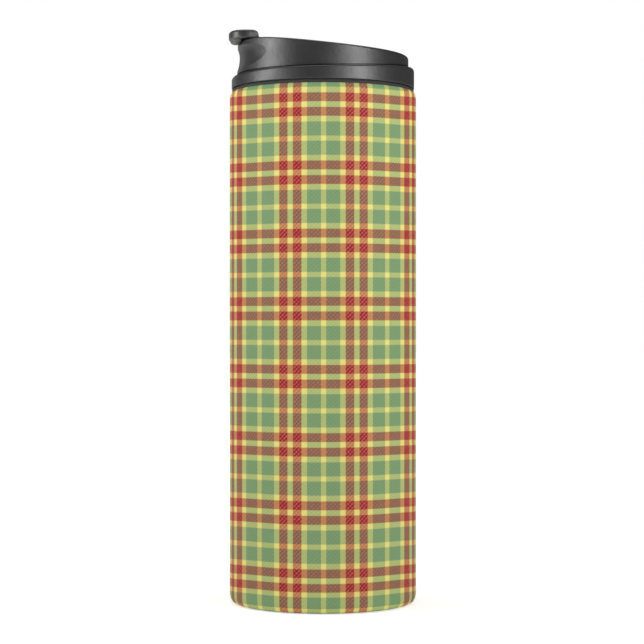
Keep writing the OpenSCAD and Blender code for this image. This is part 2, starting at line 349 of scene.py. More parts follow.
def grained_plastic(name, tone, wear=0.0, rough=0.40):
    """Dark moulded plastic with a fine spark-eroded grain, and paler rubbed edges where wear is set."""
    s = Shader(name)
    grain = s.noise(GRAIN, 2.0)
    coarse = s.noise(COARSE_GRAIN, 1.0)
    ripple = s.noise(RIPPLE, 2.0)
    cloud = s.noise(PLASTIC_CLOUD, 3.0)
    colour = s.mix(cloud, toned(tone, 0.82), toned(tone, 1.2))
    speck = s.span(grain, 0.58, 0.78, 0.0, 0.35)
    colour = s.mix(speck, colour, toned(tone, 2.2))
    if wear:
        colour = rubbed(s, colour, wear)
    fine = s.math("MULTIPLY_ADD", coarse, COARSE_SHARE, grain)
    height = s.math("MULTIPLY_ADD", ripple, RIPPLE_SHARE, fine)
    s.set(Base_Color=colour, Roughness=s.span(cloud, 0.3, 0.7, rough, rough + GLOSS_CHANGE),
          Normal=s.bump(height, 0.55, GRAIN_DEPTH), Specular_IOR_Level=0.95)
    return s.material


# ---------------------------------------------------------------- the plaid print

# The plaid's repeat: bands of (colour, width in threads), starting half-way through the thin yellow
THREADS = (("yellow", 5), ("green", 27), ("yellow", 11), ("red", 17), ("yellow", 11),
           ("red", 17), ("yellow", 11), ("green", 27), ("yellow", 5))
PRINT_INK = {"yellow": screen(222, 212, 122), "green": screen(113, 147, 104), "red": screen(145, 36, 39)}
PALE_THREAD = screen(218, 172, 150)
REPEATS = 9                    # round the flask
REPEAT = tau * BODY_R / REPEATS
SPARE_REPEATS = 100            # whole repeats that keep the count above zero
BAND_SOFT = 0.006              # half of each band's soft edge, in repeats
PRINT_FRONT = -104.6           # degrees; the middle of one thin yellow column
PRINT_SPREAD = 0.2             # radians that the columns move out by at the print's sides
STRIPE_Z = 171.0 * MM          # height of the middle of one thin yellow band
PRINT_LEVEL = 105.1 * MM       # at this height the bands are level, and from here they bow away
PRINT_BOW = 0.02               # how far they bow at the sides, as a share of the distance from it
PRINT_TUCK = 2.0 * MM          # how much of the print is drawn in at the base
PRINT_TUCK_HIGH = 11 * MM
TWILL = 1.56 * MM              # spacing of the twill's diagonals
CROSS_TWILL = 0.5              # strength of the diagonals that fall to the right
THREAD_SIZE = 0.8 * MM
THREAD_DEPTH = 0.02 * MM
FILM_CLOUD = 2.5 * MM
DISPLAY_GAMMA = 2.2


def sett_ramp(s, position):
    """The plaid's bands along one direction; position counts repeats."""
    ramp = s.add("ShaderNodeValToRGB")
    ramp.color_ramp.interpolation = "LINEAR"
    stops = ramp.color_ramp.elements
    total = sum(width for _, width in THREADS)
    edge = 0.0
    marks = []
    for ink, width in THREADS:
        start, edge = edge, edge + width / total
        marks += [(start + BAND_SOFT, PRINT_INK[ink]), (edge - BAND_SOFT, PRINT_INK[ink])]
    while len(stops) < len(marks):
        stops.new(1.0)
    for stop, (at, ink) in zip(stops, marks):
        stop.position = at
        stop.color = ink
    s.link(s.math("FRACT", position), ramp.inputs["Fac"])
    return ramp.outputs["Color"]


def print_columns(s, ahead, side):
    """Repeats round the wall; towards the sides the columns are spread by the sine's fifth power."""
    slack = s.math("MULTIPLY", s.math("POWER", s.math("ABSOLUTE", side), 4), side)
    spread = s.math("MULTIPLY_ADD", slack, -PRINT_SPREAD, ahead)
    return s.math("MULTIPLY_ADD", spread, REPEATS / tau, SPARE_REPEATS)


def print_rows(s, side, z):
    """Repeats up the wall; the bands bow towards the sides, and are drawn in at the base."""
    bow = s.math("MULTIPLY_ADD", s.math("POWER", s.math("ABSOLUTE", side), 8), -PRINT_BOW, 1)
    height = s.math("MULTIPLY_ADD", s.math("SUBTRACT", z, PRINT_LEVEL), bow, PRINT_LEVEL - STRIPE_Z)
    low_by = s.span(z, 0.0, PRINT_TUCK_HIGH, 1.0, 0.0)
    tucked = s.math("MULTIPLY_ADD", s.math("MULTIPLY", low_by, low_by), -PRINT_TUCK, height)
    return s.math("MULTIPLY_ADD", tucked, 1 / REPEAT, SPARE_REPEATS)


def twill_ridge(s, round_way, z):
    """The cloth's ridges: diagonals that rise to the right, and weaker ones that fall."""
    rising = s.math("SINE", s.math("MULTIPLY", s.math("SUBTRACT", round_way, z), tau / TWILL))
    falling = s.math("SINE", s.math("MULTIPLY", s.math("ADD", round_way, z), tau / TWILL))
    return s.math("MULTIPLY_ADD", falling, CROSS_TWILL, rising)


def flecked(s, cloth, ridge, thread):
    """The cloth with pale threads along its ridges, which show most on the dark inks."""
    inks = s.add("ShaderNodeSeparateColor")
    s.link(cloth, inks.inputs[0])
    strength = s.span(inks.outputs["Green"], 0.1, 0.8, 0.46, 0.0)
    fleck = s.math("MULTIPLY", s.span(ridge, -0.9, 1.1, 0.0, 1.0), s.span(thread, 0.35, 0.65, 0.6, 1.1))
    return s.mix(s.math("MULTIPLY", fleck, strength), cloth, PALE_THREAD)


def painted_shade_by_height(s, cloth, z):
    """Painted shade: the print's colour is made slightly darker at the foot and lighter at the shoulder."""
    # painted shade at the foot, painted light at the shoulder
    shade = s.span(z, 0.0, SHOULDER_Z, 0.97, 1.02)
    painted_shade_colour = s.add("ShaderNodeCombineColor")
    for socket in painted_shade_colour.inputs[:3]:
        s.link(shade, socket)
    return s.mix(1.0, cloth, painted_shade_colour.outputs[0], "MULTIPLY")


def plaid_print():
    """A twill plaid printed round the wall: half warp and half weft, with fine diagonals."""
    s = Shader("plaid_print")
    x, y, z = s.axes()
    turn = s.math("ARCTAN2", y, x)
    ahead = s.math("SUBTRACT", turn, radians(PRINT_FRONT))
    side = s.math("SINE", ahead)
    warp = sett_ramp(s, print_columns(s, ahead, side))
    weft = sett_ramp(s, print_rows(s, side, z))
    ridge = twill_ridge(s, s.math("MULTIPLY", turn, BODY_R), z)
    thread = s.noise(THREAD_SIZE, 2.0)
    cloth = s.mix(s.span(ridge, -1.0, 1.0, 0.45, 0.55), warp, weft)
    cloth = flecked(s, cloth, ridge, thread)
    cloth = painted_shade_by_height(s, cloth, z)
    gamma = s.add("ShaderNodeGamma")
    gamma.inputs["Gamma"].default_value = DISPLAY_GAMMA
    s.link(cloth, gamma.inputs["Color"])
    film = s.noise(FILM_CLOUD, 3.0)
    s.set(Base_Color=gamma.outputs[0], Roughness=s.span(film, 0.3, 0.7, 0.50, 0.58),
          Normal=s.bump(thread, 0.08, THREAD_DEPTH), Specular_IOR_Level=0.08)
    return s.material


# ---------------------------------------------------------------- metals and rubber

def brushed_steel():
    """Stainless steel with fine turning marks round the axis."""
    s = Shader("brushed_steel")
    tone = (0.60, 0.60, 0.60, 1)
    marks = s.noise(0.25 * MM, 3.0, stretch=(0.012, 0.012, 1))
    cloud = s.noise(14 * MM, 2.0)
    s.set(Base_Color=s.mix(cloud, toned(tone, 0.9), tone), Metallic=1.0,
          Roughness=s.span(marks, 0.3, 0.7, 0.24, 0.38), Normal=s.bump(marks, 0.12, 0.02 * MM))
    return s.material


def copper_foil():
    """Thin bright foil with shallow creases."""
    s = Shader("copper_foil")
    creases = s.noise(6 * MM, 4.0)
    s.set(Base_Color=s.mix(creases, (0.70, 0.36, 0.22, 1), (0.86, 0.50, 0.34, 1)), Metallic=1.0,
          Roughness=s.span(creases, 0.3, 0.7, 0.2, 0.35), Normal=s.bump(creases, 0.5, 0.4 * MM))
    return s.material


def silicone(name, tone):
    """Soft rubber with a faint bloom of dust."""
    s = Shader(name)
    dust = s.noise(3 * MM, 4.0)
    skin = s.noise(0.3 * MM, 2.0)
    s.set(Base_Color=s.mix(s.span(dust, 0.5, 0.8, 0.0, 0.5), tone, toned(tone, 1.8, 0.004)),
          Roughness=s.span(dust, 0.3, 0.7, 0.6, 0.75), Normal=s.bump(skin, 0.2, 0.03 * MM))
    return s.material


def sintered_metal(name, tone):
    """Porous grey metal, as on a getter pellet or a solder bead."""
    s = Shader(name)
    pores = s.noise(0.4 * MM, 5.0, 0.7)
    s.set(Base_Color=s.mix(pores, toned(tone, 0.5), tone), Metallic=1.0,
          Roughness=s.span(pores, 0.3, 0.7, 0.5, 0.8), Normal=s.bump(pores, 0.4, 0.1 * MM))
    return s.material


# ---------------------------------------------------------------- camera, light and floor

CAMERA_AZIMUTH = -15            # degrees; the drinking side faces the picture's left
CAMERA_Z = PRINT_LEVEL
CAMERA_AWAY = 722.75 * MM
LENS = 107.3
LENS_SHIFT = -0.0014            # of the picture's width
WORLD_FILL = 0.125              # the studio's light on the flask, against 1 as the camera sees it
FLOOR_R = 6.0
FLOOR_ROUND = 96
FLOOR_NEAR = 0.15               # from the axis; the floor's glow grows from here
FLOOR_FAR = 1.0                 # to here


def around(azimuth, away, z):
    """A place round the flask, by its angle from +X in degrees."""
    return Vector((away * cos(radians(azimuth)), away * sin(radians(azimuth)), z))


def make_camera():
    data = bpy.data.cameras.new("camera")
    data.sensor_width = 36
    data.lens = LENS
    data.shift_x = LENS_SHIFT
    data.dof.use_dof = False
    camera = bpy.data.objects.new("camera", data)
    camera.location = around(CAMERA_AZIMUTH - 90, CAMERA_AWAY, CAMERA_Z)
    camera.rotation_euler = (pi / 2, 0, radians(CAMERA_AZIMUTH))
    scene.collection.objects.link(camera)
    scene.camera = camera


def softbox(name, azimuth, away, z, width, height, watts, aim_z=0.15):
    """A rectangular lamp that faces the flask."""
    data = bpy.data.lights.new(name, "AREA")
    data.shape = "RECTANGLE"
    data.size = width
    data.size_y = height
    data.energy = watts
    lamp = bpy.data.objects.new(name, data)
    lamp.location = around(azimuth, away, z)
    facing = Vector((0, 0, aim_z)) - lamp.location
    lamp.rotation_euler = facing.to_track_quat("-Z", "Y").to_euler()
    scene.collection.objects.link(lamp)


def make_lamps():
    """Two large softboxes, a faint one behind the left edge, and one overhead."""
    front = CAMERA_AZIMUTH - 90
    softbox("left_softbox", front - 74, away=1.0, z=0.36, width=0.34, height=0.52, watts=5.7)
    softbox("left_rim", front - 150, away=0.9, z=0.30, width=0.22, height=0.40, watts=0.22)
    softbox("right_softbox", front + 45, away=1.0, z=0.36, width=0.52, height=0.52, watts=6.2)
    softbox("top_softbox", front + 180, away=0.10, z=1.1, width=0.9, height=0.9, watts=4.8, aim_z=0.0)


def make_world():
    """A white studio: the camera sees it at full brightness, and the flask gets a faint fill light."""
    world = bpy.data.worlds.new("studio")
    world.use_nodes = True
    tree = world.node_tree
    tree.nodes.clear()
    ray = tree.nodes.new("ShaderNodeLightPath")
    pick = tree.nodes.new("ShaderNodeMixShader")
    out = tree.nodes.new("ShaderNodeOutputWorld")
    tree.links.new(ray.outputs["Is Camera Ray"], pick.inputs[0])
    for socket, strength in zip(pick.inputs[1:], (WORLD_FILL, 1.0)):
        white = tree.nodes.new("ShaderNodeBackground")
        white.inputs["Color"].default_value = (1, 1, 1, 1)
        white.inputs["Strength"].default_value = strength
        tree.links.new(white.outputs[0], socket)
    tree.links.new(pick.outputs[0], out.inputs[0])
    scene.world = world
    scene.view_settings.view_transform = "Standard"


def make_floor():
    """A plain pale floor whose glow grows outwards; its light on the flask is weaker than it looks."""
    s = Shader("studio_floor")
    mottle = s.noise(40 * MM, 3.0)
    away = s.add("ShaderNodeVectorMath", operation="LENGTH")
    s.link(s.place, away.inputs[0])
    seen = s.add("ShaderNodeLightPath").outputs["Is Camera Ray"]
    glow = s.span(away.outputs["Value"], FLOOR_NEAR, FLOOR_FAR, 0.50, 0.95)
    glow = s.math("MULTIPLY", glow, s.math("MULTIPLY_ADD", seen, 0.6, 0.4))
    s.set(Base_Color=s.mix(mottle, (0.90, 0.90, 0.90, 1), (0.94, 0.94, 0.94, 1)), Roughness=0.9,
          Emission_Color=(1, 1, 1, 1), Emission_Strength=glow)
    bm = bmesh.new()
    bm.faces.new(add_loop(bm, circle(FLOOR_R, 0.0, FLOOR_ROUND)))
    floor = finish_mesh(bm, "studio_floor")
    floor.data.materials.append(s.material)


make_camera()
make_lamps()
make_world()
make_floor()


# ---------------------------------------------------------------- materials

plaid = plaid_print()
lid_black = grained_plastic("lid_plastic", srgb(16, 16, 17))
# black plastic like the lid's, toned darker as painted shade for the collar's strip in the shadow under the
# lid
collar_painted_shade = grained_plastic("collar_plastic_painted_shade", srgb(9, 9, 10), rough=0.75)
cap_black = grained_plastic("cap_plastic", srgb(22, 22, 22), wear=0.8)
steel = brushed_steel()
foil = copper_foil()
foot_rubber = silicone("foot_silicone", srgb(30, 30, 31))
seal_rubber = silicone("seal_silicone", srgb(96, 96, 98))
pellet = sintered_metal("getter_metal", (0.25, 0.25, 0.26, 1))
bead = sintered_metal("solder_bead", (0.55, 0.55, 0.57, 1))


# ---------------------------------------------------------------- the flask's body

BASE_IN = 1.8 * MM
BASE_RISE = 3.4 * MM
SHOULDER_IN = 1.0 * MM
SHOULDER_DROP = 3.0 * MM
FILM = 0.2 * MM
SHELL = 0.6 * MM
WALL_ROWS = 12


def oval(centre, sizes, start, end):
    """Points on part of an upright ellipse."""
    unit = arc((0, 0), 1, start, end, 2 * QUARTER)
    return [(centre[0] + sizes[0] * right, centre[1] + sizes[1] * up) for right, up in unit]


def skin(depth):
    """The wall's outline, moved inwards by a depth."""
    foot_centre = (BODY_R - BASE_IN, FOOT_Z + BASE_RISE)
    top_centre = (BODY_R - SHOULDER_IN, SHOULDER_Z - SHOULDER_DROP)
    foot = oval(foot_centre, (BASE_IN - depth, BASE_RISE - depth), -90, 0)
    top = oval(top_centre, (SHOULDER_IN - depth, SHOULDER_DROP - depth), 0, 90)
    low = foot[-1][1]
    high = top[0][1]
    wall = [(BODY_R - depth, low + (high - low) * i / WALL_ROWS) for i in range(1, WALL_ROWS)]
    return foot + wall + top


def shell_between(outer, inner, name):
    bm = bmesh.new()
    turned(bm, skin(outer) + skin(inner)[::-1])
    return finish_mesh(bm, name)


place(shell_between(0, FILM, "plaid_wall"), "flask", "plaid_print", plaid, "printed_wrap")
place(shell_between(FILM, FILM + SHELL, "steel_wall"), "flask", "steel", steel, "outer_shell")


def make_liner():
    """The inner cup, with a rounded floor and the wider neck."""
    wall = 0.5 * MM
    neck_out = liner_high.x
    neck_step = 1.9 * MM
    neck_high = 13.6 * MM
    mitre = 0.4
    cup_out = neck_out - neck_step
    floor_round = 8 * MM
    floor = liner_low.z + wall
    flare = liner_high.z - neck_high

    def side(depth):
        bend = arc((cup_out - wall - floor_round, floor + floor_round), floor_round + depth, -90, 0, 12)
        cup = (cup_out - wall + depth, flare - neck_step - mitre * depth)
        neck = (neck_out - wall + depth, flare - mitre * depth)
        return [(0, floor - depth)] + bend + [cup, neck, (neck[0], liner_high.z)]
    bm = bmesh.new()
    turned(bm, side(wall) + side(0)[::-1])
    place(finish_mesh(bm, "steel_liner"), "flask", "steel", steel, "inner_liner")


make_liner()


def make_foot():
    """The silicone pad, with grip rings below and a well above for the bead."""
    bm = bmesh.new()
    outer = pad_high.x
    top = pad_high.z
    soft = 0.5 * MM
    groove = 0.4 * MM
    middle = 10 * MM
    grip_rings = (14 * MM, 18 * MM, 22 * MM)
    well = 3.5 * MM
    well_floor = top - 0.7 * MM
    profile = [(0, groove), (middle - groove, groove), (middle, 0)]
    for at in grip_rings:
        profile += [(at, 0), (at + groove, groove), (at + 2 * groove, groove), (at + 3 * groove, 0)]
    profile += arc((outer - soft, soft), soft, -90, 0, 4)
    profile += [(outer, top), (well, top), (well, well_floor), (0, well_floor)]
    turned(bm, profile)
    place(finish_mesh(bm, "foot_pad"), "flask", "silicone", foot_rubber, "base_pad")


make_foot()


# ---------------------------------------------------------------- threads and the mouth

LEAD = 8 * MM
STARTS = 2
THREAD_DEEP = 1.0 * MM
THREAD_LOW = SHOULDER_Z - 11.2 * MM
RIDGE_STEPS = 144
RIDGE_FADE = 14          # steps over which a ridge grows and fades
RIDGE_SUNK = 0.3 * MM    # how far its root is sunk into the wall
RIDGE_SOFT = 0.18 * MM


def ridge_outline(root, crest, grow):
    """A thread ridge's section as (radius, height), from its root to a share of its crest."""
    out = 1 if crest > root else -1
    root_half = LEAD / STARTS / 4
    crest_half = root_half * 0.6
    tip = root + (crest - root) * grow
    soft = RIDGE_SOFT * grow
    upper = [(root - RIDGE_SUNK * out, root_half), (root, root_half),
             (tip - soft * out, crest_half + soft * 0.4), (tip, crest_half - soft)]
    return [(r, -up) for r, up in upper] + upper[::-1]


def add_ridge(bm, root, crest, z0, turn0):
    """One helical ridge of a thread, one turn long, fading out at both ends."""
    rows = []
    for i in range(RIDGE_STEPS + 1):
        turn = turn0 + tau * i / RIDGE_STEPS
        z = z0 + LEAD * i / RIDGE_STEPS
        share = min(1, (i + 1) / RIDGE_FADE, (RIDGE_STEPS - i + 1) / RIDGE_FADE)
        grow = share * share * (3 - 2 * share)
        rows.append([(r * cos(turn), r * sin(turn), z + up) for r, up in ridge_outline(root, crest, grow)])
    capped_loft(bm, rows)


def make_collar():
    """The black collar in the mouth, with its flange and the female thread."""
    bm = bmesh.new()
    bore = 31.0 * MM
    skirt = liner_high.x - 0.6 * MM
    neck = SHOULDER_Z - FILM
    soft = 0.25 * MM
    flange_r = LID_R - 0.15 * MM
    flange = arc((flange_r - soft, SHOULDER_Z + soft), soft, -90, 0, 3)
    flange += arc((flange_r - soft, collar_high.z - soft), soft, 0, 90, 3)
    lip = arc((bore + soft, collar_high.z - soft), soft, 90, 180, 3)
    turned(bm, [(bore, collar_low.z), (skirt, collar_low.z), (skirt, neck), (liner_high.x, neck),
                (liner_high.x, SHOULDER_Z)] + flange + lip)
    for start in range(STARTS):
        add_ridge(bm, bore, bore - THREAD_DEEP, THREAD_LOW + LEAD / STARTS / 2, tau * start / STARTS)
    place(finish_mesh(bm, "mouth_collar"), "flask", "lid_plastic", collar_painted_shade, "neck_collar")


make_collar()


def make_gasket():
    """The flat sealing ring under the lid, with a rounded lip."""
    bm = bmesh.new()
    inner = 31.3 * MM
    outer = gasket_high.x
    half = (gasket_high.z - gasket_low.z) / 2
    mid = gasket_low.z + half
    turned(bm, arc((outer - half, mid), half, -90, 90) + arc((inner + half, mid), half, 90, 270))
    place(finish_mesh(bm, "lid_seal_ring"), "gasket", "seal_silicone", seal_rubber, "lid_gasket")


make_gasket()

HOLE_X = 20.5 * MM       # the drinking hole's distance in front of the axis
HOLE_CORE = 2.0 * MM     # half the straight length of the slot
HOLE_REACH = 3.0 * MM    # half its width
VENT_X = 8.0 * MM
VENT_R = 1.2 * MM
DECK_Z = LID_FOOT + 9.2 * MM
DECK_T = 1.8 * MM
BOSS_Z = LID_FOOT + 12.4 * MM


def hole_loops(bm, levels):
    """The drinking hole's rings through a list of (height, extra reach)."""
    return loft(bm, [stadium(HOLE_REACH + grow, HOLE_CORE, -HOLE_X, z) for z, grow in levels], closed=False)


def vent_loops(bm, levels):
    """The vent's rings through a list of (height, extra radius)."""
    return loft(bm, [circle(VENT_R + grow, z, VENT_ROUND, -VENT_X) for z, grow in levels], closed=False)


def make_plug():
    """The threaded plug with its floor, drink tube and vent tube."""
    bm = bmesh.new()
    outer = 29.7 * MM
    inner = outer - 1.6 * MM
    flange_r = 33.0 * MM
    flange_z = gasket_high.z + 0.05 * MM
    flange_top = flange_z + 1.5 * MM
    floor_low = plug_low.z
    floor_top = floor_low + 2 * MM
    soft = 0.6 * MM
    tube_wall = 1.2 * MM
    outline = arc((outer - soft, floor_low + soft), soft, -90, 0, 5)
    outline += [(outer, flange_z), (flange_r, flange_z), (flange_r, flange_top), (inner, flange_top),
                (inner, floor_top)]
    rings = loft(bm, [circle(r, z) for r, z in outline], closed=False)
    tube = [(floor_low, 0), (plug_high.z, 0), (plug_high.z, tube_wall), (floor_top, tube_wall)]
    drink_tube = hole_loops(bm, tube)
    vent_tube = vent_loops(bm, tube)
    for end in (0, -1):
        fill(bm, [rings[end], drink_tube[end], vent_tube[end]])
    for start in range(STARTS):
        add_ridge(bm, outer, outer + THREAD_DEEP, THREAD_LOW, tau * start / STARTS)
    place(finish_mesh(bm, "screw_plug"), "lid", "lid_plastic", lid_black, "lid_plug")


make_plug()


# ---------------------------------------------------------------- the lid's ring

RING_H = 4.62 * MM           # the upper edge's height at the front
RING_RISE = 3.35 * MM        # how much higher it is at the back
RING_BORE = 32.5 * MM
RING_FOOT_BORE = 33.1 * MM
RING_ROWS = 8


def seam_at(turn):
    """The height of the ring's upper edge in one direction."""
    return LID_FOOT + RING_H + RING_RISE * ((LID_R * cos(turn) + LID_R) / (2 * LID_R)) ** 3


def ring_round(turn):
    """The rounding of the ring's upper edge, larger at the front and the back than at the sides."""
    return (0.7 + 1.2 * cos(turn) ** 8) * MM


def ring_side(share, low):
    """A loop on the ring's outer wall, at a share of the way up to its rounded edge."""
    def place_at(turn):
        rise = seam_at(turn) - ring_round(turn) - low
        return LID_R, low + rise * share
    return place_at


def ring_edge(right, up):
    """A loop on the ring's rounded upper edge."""
    def place_at(turn):
        return LID_R + right * ring_round(turn), seam_at(turn) + up * ring_round(turn)
    return place_at


def ring_bore_edge(turn):
    """The ring's upper inner edge, hidden in the groove."""
    return RING_BORE, seam_at(turn) - 0.1 * ring_round(turn)


def make_ring():
    """The lid's outer ring; its rounded upper edge rises to the back."""
    bm = bmesh.new()
    turns = directions(ROUND)
    soft = 0.15 * MM
    foot = arc((LID_R - soft, LID_FOOT + soft), soft, -90, 0, 3)
    loops = [circle(r, z) for r, z in [(RING_FOOT_BORE, LID_FOOT)] + foot]
    loops += [swept(turns, ring_side(i / RING_ROWS, LID_FOOT + soft)) for i in range(1, RING_ROWS)]
    loops += [swept(turns, ring_edge(right, up)) for right, up in arc((-1, -1), 1, 0, 80, 12)]
    loops.append(swept(turns, ring_bore_edge))
    loops += [circle(r, dome_low.z) for r in (RING_BORE, RING_FOOT_BORE)]
    loft(bm, loops)
    place(finish_mesh(bm, "lid_outer_ring"), "lid", "lid_plastic", lid_black, "lid_ring")


make_ring()


# ---------------------------------------------------------------- the lid's cover

RIM_BACK = LID_FOOT + 11.9 * MM    # the rim's height at the back
RIM_RISE = 5.6 * MM                # how much higher it would be at the front
RIM_CAP = LID_FOOT + 16.8 * MM     # where it levels out
RIM_BLEND = 0.5 * MM
DOME_R = 31.9 * MM
DOME_FOOT_R = dome_high.x
DOME_ROOF = LID_FOOT + 22 * MM
DOME_ROWS = 56
WELL_X = 0.5 * MM
WELL_R = 28.9 * MM
WELL_ROUND = 0.8 * MM
DECK_ROUND = 1.2 * MM
SCOOP_X = 6.2 * MM           # the thumb scoop is turned about a line this far behind the axis
SCOOP_DEEP = 0.75 * MM
SCOOP_R = DOME_R - SCOOP_DEEP + SCOOP_X
SCOOP_Z = LID_FOOT + 11.7 * MM
SCOOP_LOW = 15 * MM          # the radius of its bend below its deepest line
SCOOP_HIGH = 8 * MM          # and above it
SCOOP_BLEND = 0.03 * MM
NO_SCOOP = 1.0
GROOVE_DEEP = 1.1 * MM
GROOVE_SUNK = 0.6 * MM       # how far the groove starts below the ring's top
GROOVE_OPEN = 0.62 * MM      # how far it shows above it


def smaller(a, b, blend):
    """The smaller of two numbers, with a soft corner between them."""
    mix = max(blend - abs(a - b), 0) / blend
    return min(a, b) - mix * mix * blend / 4


def rim_at(x):
    """The height of the cover's sloping rim."""
    rise = max(0.0, (1 - x / DOME_R) / 2) ** 2.4
    return smaller(RIM_BACK + RIM_RISE * rise, RIM_CAP, RIM_BLEND)


def rim_round(turn):
    """The rounding of the rim's outer edge, largest at the back."""
    return (0.8 + 0.25 * cos(turn)) * MM


def scoop_reach(turn, z):
    """How far from the axis the thumb scoop's surface is, in one direction and at one height."""
    dz = z - SCOOP_Z
    bend = SCOOP_LOW if dz < 0 else SCOOP_HIGH
    if abs(dz) >= bend:
        return NO_SCOOP
    radius = SCOOP_R + bend - sqrt(bend * bend - dz * dz)
    across = SCOOP_X * sin(turn)
    return SCOOP_X * cos(turn) + sqrt(radius * radius - across * across)


def dome_wall(turn, z):
    """The dome's outer radius, with the thumb scoop pressed in."""
    lean = (z - dome_low.z) / (DOME_ROOF - dome_low.z)
    plain = DOME_FOOT_R + (DOME_R - DOME_FOOT_R) * lean
    return smaller(plain, scoop_reach(turn, z), SCOOP_BLEND)


def rim_start(turn):
    """The height at which the wall turns into the rim's rounding."""
    return rim_at(DOME_R * cos(turn)) - rim_round(turn)


def groove_loop(up, deep):
    """A loop of the groove over the ring, at a height from the ring's top and a depth into the wall."""
    def place_at(turn):
        z = seam_at(turn) + up
        return dome_wall(turn, z) - deep, z
    return place_at


def wall_loop(share):
    """A loop on the wall, at a share of the way from the groove to the rim."""
    def place_at(turn):
        low = seam_at(turn) + GROOVE_OPEN
        z = low + (rim_start(turn) - low) * share
        return dome_wall(turn, z), z
    return place_at


def rim_loop(inwards, up):
    """A loop on the rim's rounded edge."""
    def place_at(turn):
        r = dome_wall(turn, rim_start(turn)) + inwards * rim_round(turn)
        return r, rim_at(r * cos(turn)) + up * rim_round(turn)
    return place_at


def well_loop(turns, outwards, up):
    """A loop on the rounded edge of the well in the cover's top."""
    r = WELL_R + outwards
    return [(WELL_X + r * cos(t), r * sin(t), rim_at(WELL_X + r * cos(t)) + up) for t in turns]


def cover_outside():
    """The cover's loops: its foot, the groove, the wall, the rim, the well and the deck's edge."""
    turns = directions(COVER_ROUND)
    groove = ((-GROOVE_SUNK, 0), (-GROOVE_SUNK, GROOVE_DEEP), (GROOVE_OPEN, GROOVE_DEEP))
    rim = arc((-1, -1), 1, 0, 90)[1:]
    well = arc((WELL_ROUND, -WELL_ROUND), WELL_ROUND, 90, 180, 6)
    deck_edge = arc((-DECK_ROUND, DECK_ROUND), DECK_ROUND, 0, -90, 6)
    loops = [circle(DOME_FOOT_R, dome_low.z, COVER_ROUND)]
    loops += [swept(turns, groove_loop(up, deep)) for up, deep in groove]
    loops += [swept(turns, wall_loop(k / DOME_ROWS)) for k in range(DOME_ROWS + 1)]
    loops += [swept(turns, rim_loop(inwards, up)) for inwards, up in rim]
    loops += [well_loop(turns, outwards, up) for outwards, up in well]
    loops += [circle(WELL_R + inwards, DECK_Z + up, COVER_ROUND, WELL_X) for inwards, up in deck_edge]
    return loops


def make_dome():
    """The domed cover: a wall with a sloping rounded rim, a sunk deck, a spout and two hinge ears."""
    bm = bmesh.new()
    under = DECK_Z - DECK_T
    rings = loft(bm, cover_outside(), closed=False)
    cavity = loft(bm, [circle(WELL_R, z, COVER_ROUND, WELL_X) for z in (dome_low.z, under)], closed=False)
    bridge(bm, rings[0], cavity[0])
    spout_hole = hole_loops(bm, [(DECK_Z, 0.6 * MM), (under, 0.6 * MM)])
    vent_hole = vent_loops(bm, [(DECK_Z, 0), (under, 0)])
    fill(bm, [rings[-1], spout_hole[0], vent_hole[0]])
    fill(bm, [cavity[1], spout_hole[1], vent_hole[1]])
    add_spout(bm)
    add_vent_boss(bm)
    add_ears(bm)
    place(finish_mesh(bm, "lid_cover", sharp=32), "lid", "lid_plastic", lid_black, "lid_dome")


def add_spout(bm):
    """The raised spout round the drinking hole."""
    reach = HOLE_REACH + 1.3 * MM
    lip = 0.5 * MM
    flare = 0.8 * MM
    sunk = 0.2 * MM
    lip_z = BOSS_Z - DECK_Z - lip
    sleeve = HOLE_REACH + 0.55 * MM
    sleeve_z = -DECK_T - 0.8 * MM
    outline = [(reach + flare, -sunk)]
    outline += arc((reach + flare, flare), flare, -90, -180, 6)
    outline += arc((reach - lip, lip_z), lip, 0, 90, 5)
    outline += arc((HOLE_REACH + lip, lip_z), lip, 90, 180, 5)
    outline += [(HOLE_REACH, sleeve_z), (sleeve, sleeve_z), (sleeve, -sunk)]
    loft(bm, [stadium(d, HOLE_CORE, -HOLE_X, DECK_Z + z) for d, z in outline])


def add_vent_boss(bm):
    """The vent's low boss."""
    foot = VENT_R + 1.9 * MM
    flare = 0.5 * MM
    lip = 0.4 * MM
    lip_z = 0.6 * MM
    sunk = 0.3 * MM
    outline = [(VENT_R, -sunk), (foot, -sunk), (foot, 0)]
    outline += arc((foot, flare), flare, -90, -180, 4)
    outline += arc((foot - flare - lip, lip_z), lip, 0, 90, 4)
    outline += arc((VENT_R + lip, lip_z), lip, 90, 180, 4)
    loft(bm, [circle(r, DECK_Z + z, VENT_ROUND, -VENT_X) for r, z in outline])


def round_hinge(radius):
    """A circle's outline round the hinge pin's axis."""
    return arc((HINGE.x, HINGE.z), radius, 0, 345, 23)


def add_ears(bm):
    """Two rounded ears that hold the hinge pin."""
    ear_r = 2.8 * MM
    foot_reach = ear_r + 0.5 * MM
    foot = DECK_Z - 0.5 * MM
    inner_y = 7.85 * MM
    outer_y = inner_y + 2.5 * MM
    pin_r = (pin_high.z - pin_low.z) / 2
    outline = arc((HINGE.x, HINGE.z), ear_r, 0, 180, 24)
    outline += [(HINGE.x - foot_reach, foot), (HINGE.x + foot_reach, foot)]
    hole = round_hinge(pin_r + 0.02 * MM)
    for side in (-1, 1):
        y0, y1 = sorted((side * inner_y, side * outer_y))
        prism(bm, outline, y0, y1, holes=[hole], round_off=0.45 * MM)


make_dome()


# ---------------------------------------------------------------- the flip cap

